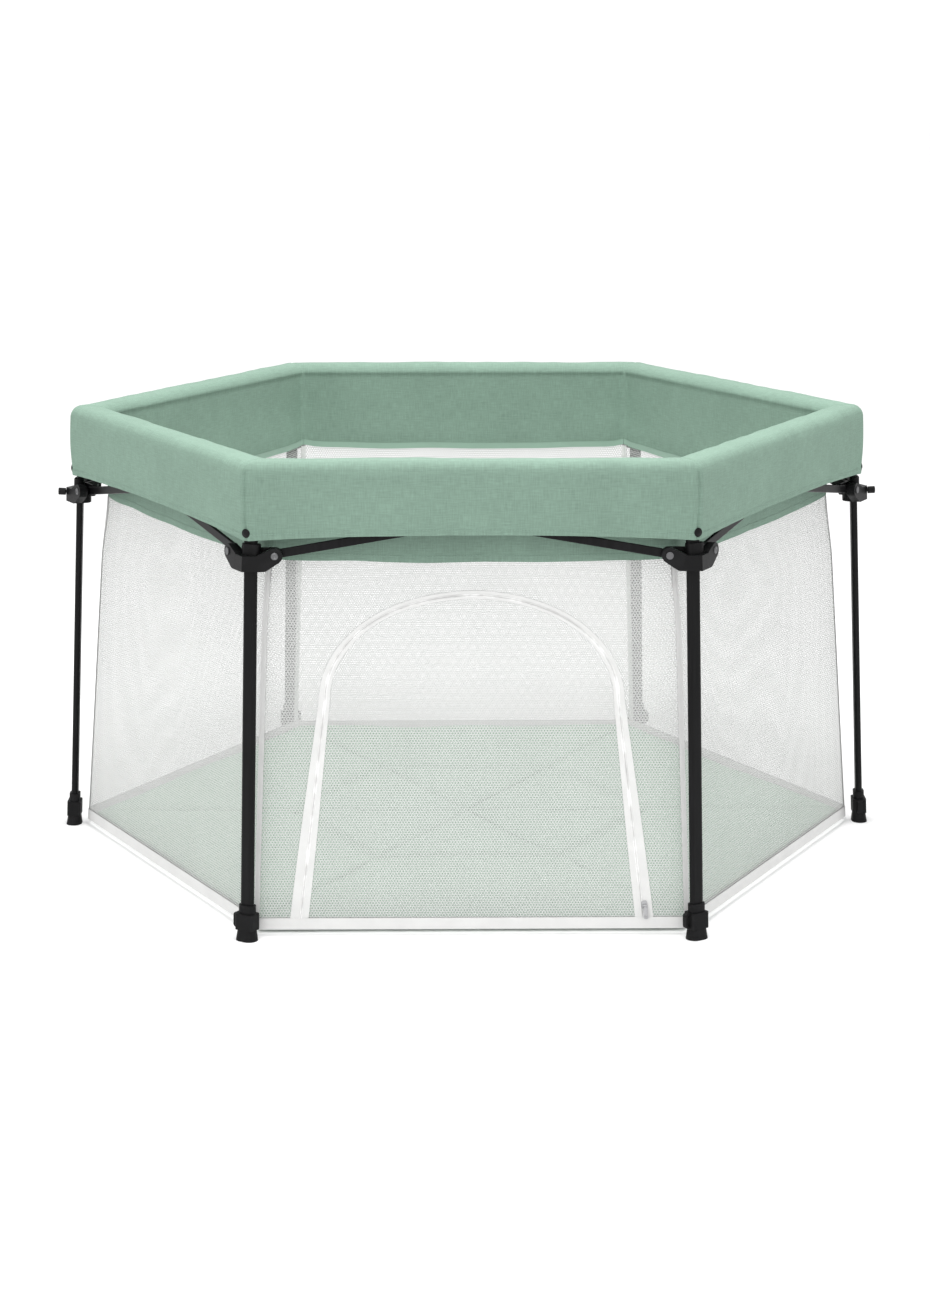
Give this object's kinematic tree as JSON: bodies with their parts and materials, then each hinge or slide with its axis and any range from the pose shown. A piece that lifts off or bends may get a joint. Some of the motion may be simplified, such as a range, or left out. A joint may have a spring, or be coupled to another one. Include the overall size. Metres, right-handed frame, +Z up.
{
  "type": "travel play yard",
  "caption": "Folding hexagonal travel play yard with splayed legs, scissor bars under a padded fabric rail, mesh walls, an arched zip door and a padded mat.",
  "frame": {"origin": "on the floor under the middle of the hexagon", "axes": "+Z up, -Y towards the side with the door, +X to the right-hand leg as seen from the door side"},
  "size_m": [1.264, 1.1024, 0.661],
  "materials": {
    "leg_black": "satin",
    "hub_black": "moulded",
    "bar_black": "satin",
    "rivet_steel": "darkened",
    "spring_steel": "wire",
    "foot_black": "moulded",
    "linen_sage": "woven melange",
    "mesh_white": "knitted net",
    "mat_sage": "padded weave",
    "zip_grey": "die cast, painted"
  },
  "bodies": {
    "leg_right": {"leg_tube_right": "leg_black", "top_hub_right": "hub_black", "foot_right": "foot_black"},
    "slider_right": {"slider_right": "hub_black", "lock_spring_right": "spring_steel"},
    "leg_back_right": {"leg_tube_back_right": "leg_black", "top_hub_back_right": "hub_black", "foot_back_right": "foot_black"},
    "slider_back_right": {"slider_back_right": "hub_black"},
    "leg_back_left": {"leg_tube_back_left": "leg_black", "top_hub_back_left": "hub_black", "foot_back_left": "foot_black"},
    "slider_back_left": {"slider_back_left": "hub_black"},
    "leg_left": {"leg_tube_left": "leg_black", "top_hub_left": "hub_black", "foot_left": "foot_black"},
    "slider_left": {"slider_left": "hub_black", "lock_spring_left": "spring_steel"},
    "leg_front_left": {"leg_tube_front_left": "leg_black", "top_hub_front_left": "hub_black", "foot_front_left": "foot_black"},
    "slider_front_left": {"slider_front_left": "hub_black"},
    "leg_front_right": {"leg_tube_front_right": "leg_black", "top_hub_front_right": "hub_black", "foot_front_right": "foot_black", "rail_cover": "linen_sage", "mesh_walls": "mesh_white", "door_wall": "mesh_white"},
    "slider_front_right": {"slider_front_right": "hub_black"},
    "lock_right": {"lock_knob_right": "hub_black"},
    "lock_left": {"lock_knob_left": "hub_black"},
    "outer_bar_back_right": {"outer_bar_back_right": "bar_black", "bar_rivets_back_right": "rivet_steel"},
    "inner_bar_back_right": {"inner_bar_back_right": "bar_black"},
    "mat_back_right": {"mat_panel_back_right": "mat_sage"},
    "outer_bar_back": {"outer_bar_back": "bar_black", "bar_rivets_back": "rivet_steel"},
    "inner_bar_back": {"inner_bar_back": "bar_black"},
    "mat_back": {"mat_panel_back": "mat_sage"},
    "outer_bar_back_left": {"outer_bar_back_left": "bar_black", "bar_rivets_back_left": "rivet_steel"},
    "inner_bar_back_left": {"inner_bar_back_left": "bar_black"},
    "mat_back_left": {"mat_panel_back_left": "mat_sage"},
    "outer_bar_front_left": {"outer_bar_front_left": "bar_black", "bar_rivets_front_left": "rivet_steel"},
    "inner_bar_front_left": {"inner_bar_front_left": "bar_black"},
    "mat_front_left": {"mat_panel_front_left": "mat_sage"},
    "outer_bar_front": {"outer_bar_front": "bar_black", "bar_rivets_front": "rivet_steel"},
    "inner_bar_front": {"inner_bar_front": "bar_black"},
    "mat_front": {"mat_panel_front": "mat_sage"},
    "outer_bar_front_right": {"outer_bar_front_right": "bar_black", "bar_rivets_front_right": "rivet_steel"},
    "inner_bar_front_right": {"inner_bar_front_right": "bar_black"},
    "mat_front_right": {"mat_panel_front_right": "mat_sage"},
    "door": {"door_panel": "mesh_white"},
    "zip_slider": {"zip_slider": "zip_grey"},
    "zip_pull": {"zip_pull": "zip_grey"}
  },
  "joints": [
    {"name": "fold", "type": "hinge", "parent": "leg_front_right", "child": "outer_bar_front_right", "pos_m": [0.30154, -0.49458, 0.628], "axis": [-0.8651, 0.4995, -0.0453], "range_deg": [0, 70.48], "deforming": ["rail_cover", "mesh_walls", "door_wall", "door_panel", "mat_panel_back_right", "mat_panel_back", "mat_panel_back_left", "mat_panel_front_left", "mat_panel_front", "mat_panel_front_right"]},
    {"name": "crossing_front_right", "type": "hinge", "parent": "outer_bar_front_right", "child": "inner_bar_front_right", "pos_m": [0.44217, -0.25529, 0.5808], "axis": [-0.8651, 0.4995, -0.0453], "range_deg": [-141.45, 0]},
    {"name": "inner_bar_hub_front_right", "type": "hinge", "parent": "inner_bar_front_right", "child": "leg_right", "pos_m": [0.57909, -0.01386, 0.628], "axis": [-0.8651, 0.4995, -0.0453], "range_deg": [0, 70.98]},
    {"name": "outer_bar_hub_back_right", "type": "hinge", "parent": "leg_right", "child": "outer_bar_back_right", "pos_m": [0.57909, 0.01386, 0.628], "axis": [-0.8651, -0.4995, -0.0453], "range_deg": [0, 70.98]},
    {"name": "crossing_back_right", "type": "hinge", "parent": "outer_bar_back_right", "child": "inner_bar_back_right", "pos_m": [0.44217, 0.25529, 0.5808], "axis": [-0.8651, -0.4995, -0.0453], "range_deg": [-141.45, 0]},
    {"name": "inner_bar_hub_back_right", "type": "hinge", "parent": "inner_bar_back_right", "child": "leg_back_right", "pos_m": [0.30154, 0.49458, 0.628], "axis": [-0.8651, -0.4995, -0.0453], "range_deg": [0, 70.98]},
    {"name": "outer_bar_hub_back", "type": "hinge", "parent": "leg_back_right", "child": "outer_bar_back", "pos_m": [0.27754, 0.50843, 0.628], "axis": [0, -0.999, -0.0453], "range_deg": [0, 70.98]},
    {"name": "crossing_back", "type": "hinge", "parent": "outer_bar_back", "child": "inner_bar_back", "pos_m": [0, 0.51058, 0.5808], "axis": [0, -0.999, -0.0453], "range_deg": [-141.45, 0]},
    {"name": "inner_bar_hub_back", "type": "hinge", "parent": "inner_bar_back", "child": "leg_back_left", "pos_m": [-0.27754, 0.50843, 0.628], "axis": [0, -0.999, -0.0453], "range_deg": [0, 70.98]},
    {"name": "outer_bar_hub_back_left", "type": "hinge", "parent": "leg_back_left", "child": "outer_bar_back_left", "pos_m": [-0.30154, 0.49458, 0.628], "axis": [0.8651, -0.4995, -0.0453], "range_deg": [0, 70.98]},
    {"name": "crossing_back_left", "type": "hinge", "parent": "outer_bar_back_left", "child": "inner_bar_back_left", "pos_m": [-0.44217, 0.25529, 0.5808], "axis": [0.8651, -0.4995, -0.0453], "range_deg": [-141.45, 0]},
    {"name": "inner_bar_hub_front", "type": "hinge", "parent": "leg_front_right", "child": "inner_bar_front", "pos_m": [0.27754, -0.50843, 0.628], "axis": [0, 0.999, -0.0453], "range_deg": [-70.98, 0]},
    {"name": "crossing_front", "type": "hinge", "parent": "inner_bar_front", "child": "outer_bar_front", "pos_m": [0, -0.51058, 0.5808], "axis": [0, 0.999, -0.0453], "range_deg": [0, 141.45]},
    {"name": "outer_bar_hub_front", "type": "hinge", "parent": "outer_bar_front", "child": "leg_front_left", "pos_m": [-0.27754, -0.50843, 0.628], "axis": [0, 0.999, -0.0453], "range_deg": [-70.98, 0]},
    {"name": "inner_bar_hub_front_left", "type": "hinge", "parent": "leg_front_left", "child": "inner_bar_front_left", "pos_m": [-0.30154, -0.49458, 0.628], "axis": [0.8651, 0.4995, -0.0453], "range_deg": [-70.98, 0]},
    {"name": "crossing_front_left", "type": "hinge", "parent": "inner_bar_front_left", "child": "outer_bar_front_left", "pos_m": [-0.44217, -0.25529, 0.5808], "axis": [0.8651, 0.4995, -0.0453], "range_deg": [0, 141.45]},
    {"name": "outer_bar_hub_front_left", "type": "hinge", "parent": "outer_bar_front_left", "child": "leg_left", "pos_m": [-0.57909, -0.01386, 0.628], "axis": [0.8651, 0.4995, -0.0453], "range_deg": [-70.98, 0]},
    {"name": "slider_pivot_back_right", "type": "hinge", "parent": "outer_bar_back_right", "child": "slider_back_right", "pos_m": [0.31224, 0.4844, 0.536], "axis": [-0.8651, -0.4995, -0.0453], "range_deg": [-70.98, 0]},
    {"name": "slider_pivot_back_left", "type": "hinge", "parent": "outer_bar_back", "child": "slider_back_left", "pos_m": [-0.26338, 0.51261, 0.536], "axis": [0, -0.999, -0.0453], "range_deg": [-70.98, 0]},
    {"name": "slider_pivot_left", "type": "hinge", "parent": "outer_bar_back_left", "child": "slider_left", "pos_m": [-0.57562, 0.02821, 0.536], "axis": [0.8651, -0.4995, -0.0453], "range_deg": [-70.98, 0]},
    {"name": "slider_pivot_front_left", "type": "hinge", "parent": "outer_bar_front_left", "child": "slider_front_left", "pos_m": [-0.31224, -0.4844, 0.536], "axis": [0.8651, 0.4995, -0.0453], "range_deg": [-70.98, 0]},
    {"name": "slider_pivot_front_right", "type": "hinge", "parent": "outer_bar_front", "child": "slider_front_right", "pos_m": [0.26338, -0.51261, 0.536], "axis": [0, 0.999, -0.0453], "range_deg": [-70.98, 0]},
    {"name": "slider_pivot_right", "type": "hinge", "parent": "outer_bar_front_right", "child": "slider_right", "pos_m": [0.57562, -0.02821, 0.536], "axis": [-0.8651, 0.4995, -0.0453], "range_deg": [-70.98, 0]},
    {"name": "mat_fold_back_right", "type": "hinge", "parent": "leg_right", "child": "mat_back_right", "pos_m": [0.44557, 0.25725, 0.016], "axis": [-0.5, 0.866, 0], "range_deg": [0, 84.5]},
    {"name": "mat_fold_back", "type": "hinge", "parent": "leg_back_right", "child": "mat_back", "pos_m": [0, 0.5145, 0.016], "axis": [-1, 0, 0], "range_deg": [0, 84.5]},
    {"name": "mat_fold_back_left", "type": "hinge", "parent": "leg_back_left", "child": "mat_back_left", "pos_m": [-0.44557, 0.25725, 0.016], "axis": [-0.5, -0.866, 0], "range_deg": [0, 84.5]},
    {"name": "mat_fold_front_left", "type": "hinge", "parent": "leg_left", "child": "mat_front_left", "pos_m": [-0.44557, -0.25725, 0.016], "axis": [0.5, -0.866, 0], "range_deg": [0, 84.5]},
    {"name": "mat_fold_front", "type": "hinge", "parent": "leg_front_left", "child": "mat_front", "pos_m": [0, -0.5145, 0.016], "axis": [1, 0, 0], "range_deg": [0, 84.5]},
    {"name": "mat_fold_front_right", "type": "hinge", "parent": "leg_front_right", "child": "mat_front_right", "pos_m": [0.44557, -0.25725, 0.016], "axis": [0.5, 0.866, 0], "range_deg": [0, 84.5]},
    {"name": "lock_right_pull", "type": "slide", "parent": "slider_right", "child": "lock_right", "axis": [0.9986, 0, 0.0523], "range_m": [0, 0.004], "stiffness_N_per_m": 300, "springref_m": -0.001, "deforming": ["lock_spring_right"]},
    {"name": "lock_left_pull", "type": "slide", "parent": "slider_left", "child": "lock_left", "axis": [-0.9986, 0, 0.0523], "range_m": [0, 0.004], "stiffness_N_per_m": 300, "springref_m": -0.001, "deforming": ["lock_spring_left"]},
    {"name": "door_drop", "type": "hinge", "parent": "leg_front_right", "child": "door", "pos_m": [0, -0.51684, 0.02295], "axis": [1, 0, 0], "range_deg": [0, 94]},
    {"name": "zip_run", "type": "slide", "parent": "leg_front_right", "child": "zip_slider", "axis": [-0.1193, 0.0887, 0.9889], "range_m": [0, 0.26]},
    {"name": "zip_pull_swing", "type": "hinge", "parent": "zip_slider", "child": "zip_pull", "pos_m": [0.23884, -0.52061, 0.04136], "axis": [-0.9929, -0.0107, -0.1188], "range_deg": [0, 150]}
  ],
  "couplings": [
    {"joint": "crossing_front_right", "follows": "fold", "ratio": -2},
    {"joint": "inner_bar_hub_front_right", "follows": "fold", "ratio": 1},
    {"joint": "outer_bar_hub_back_right", "follows": "fold", "ratio": 1},
    {"joint": "crossing_back_right", "follows": "fold", "ratio": -2},
    {"joint": "inner_bar_hub_back_right", "follows": "fold", "ratio": 1},
    {"joint": "outer_bar_hub_back", "follows": "fold", "ratio": 1},
    {"joint": "crossing_back", "follows": "fold", "ratio": -2},
    {"joint": "inner_bar_hub_back", "follows": "fold", "ratio": 1},
    {"joint": "outer_bar_hub_back_left", "follows": "fold", "ratio": 1},
    {"joint": "crossing_back_left", "follows": "fold", "ratio": -2},
    {"joint": "inner_bar_hub_front", "follows": "fold", "ratio": -1},
    {"joint": "crossing_front", "follows": "fold", "ratio": 2},
    {"joint": "outer_bar_hub_front", "follows": "fold", "ratio": -1},
    {"joint": "inner_bar_hub_front_left", "follows": "fold", "ratio": -1},
    {"joint": "crossing_front_left", "follows": "fold", "ratio": 2},
    {"joint": "outer_bar_hub_front_left", "follows": "fold", "ratio": -1},
    {"joint": "slider_pivot_back_right", "follows": "fold", "ratio": -1},
    {"joint": "slider_pivot_back_left", "follows": "fold", "ratio": -1},
    {"joint": "slider_pivot_left", "follows": "fold", "ratio": -1},
    {"joint": "slider_pivot_front_left", "follows": "fold", "ratio": -1},
    {"joint": "slider_pivot_front_right", "follows": "fold", "ratio": -1},
    {"joint": "slider_pivot_right", "follows": "fold", "ratio": -1},
    {"joint": "mat_fold_back_right", "follows": "fold", "ratio": 1.1919},
    {"joint": "mat_fold_back", "follows": "fold", "ratio": 1.1919},
    {"joint": "mat_fold_back_left", "follows": "fold", "ratio": 1.1919},
    {"joint": "mat_fold_front_left", "follows": "fold", "ratio": 1.1919},
    {"joint": "mat_fold_front", "follows": "fold", "ratio": 1.1919},
    {"joint": "mat_fold_front_right", "follows": "fold", "ratio": 1.1919}
  ]
}
